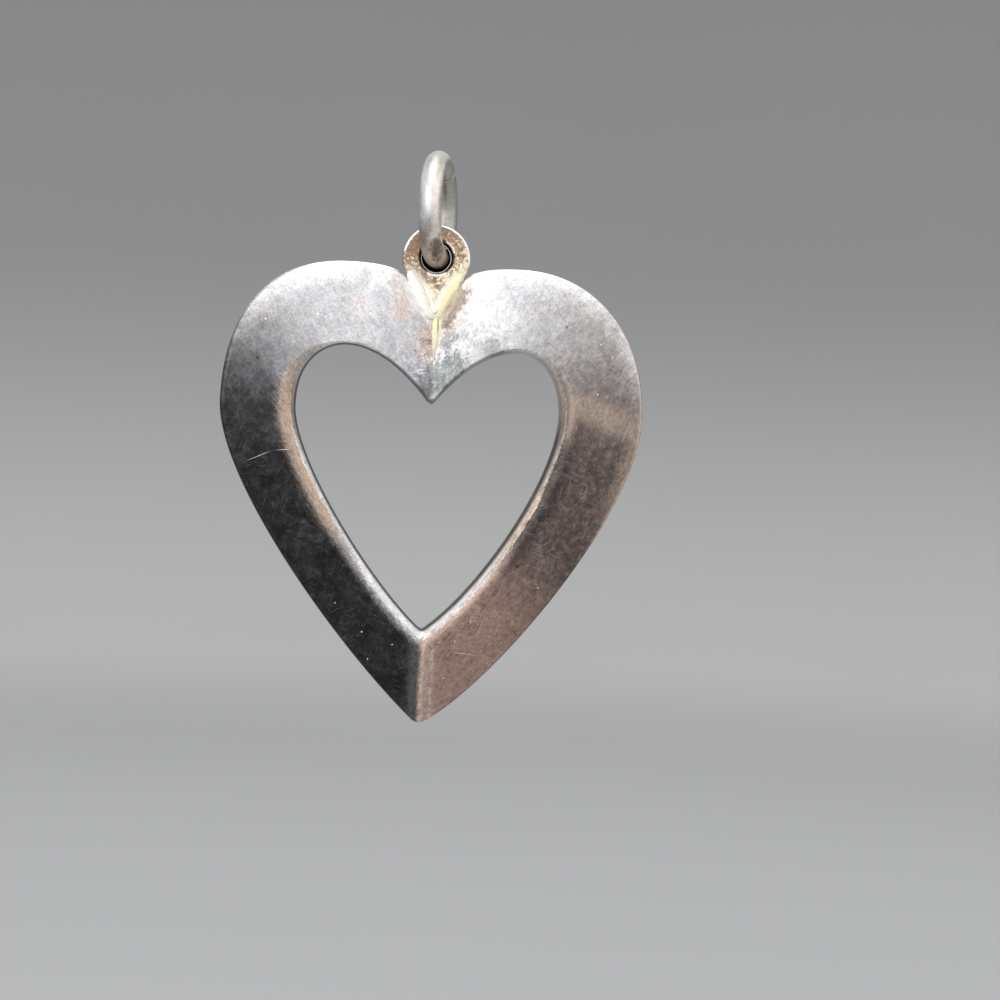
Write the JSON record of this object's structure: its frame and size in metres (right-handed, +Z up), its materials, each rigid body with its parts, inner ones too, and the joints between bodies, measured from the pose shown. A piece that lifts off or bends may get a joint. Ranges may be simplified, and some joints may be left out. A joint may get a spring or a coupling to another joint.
{
  "type": "heart pendant",
  "caption": "Open silver heart with a hollow, sloped front over a flat back, hung by a holed tab from a loose jump ring.",
  "frame": {"origin": "top of the jump ring's inside, where a chain carries the pendant", "axes": "+Z up as it hangs, -Y out of the heart's sloped front, +X to the right seen from the front"},
  "size_m": [0.0253, 0.0068, 0.0341],
  "materials": {
    "heart_silver": "satin",
    "back_silver": "satin",
    "tab_silver": "satin",
    "solder": "satin",
    "ring_silver": "satin"
  },
  "bodies": {
    "ring": {"jump_ring": "ring_silver"},
    "heart": {"front_shell": "heart_silver", "back_plate": "back_silver", "eyelet_tab": "tab_silver", "solder_seam": "solder"}
  },
  "joints": [
    {"name": "heart_swing", "type": "hinge", "parent": "ring", "child": "heart", "pos_m": [0, 0, -0.00215], "axis": [0.9703, -0.2419, 0], "continuous": true}
  ]
}
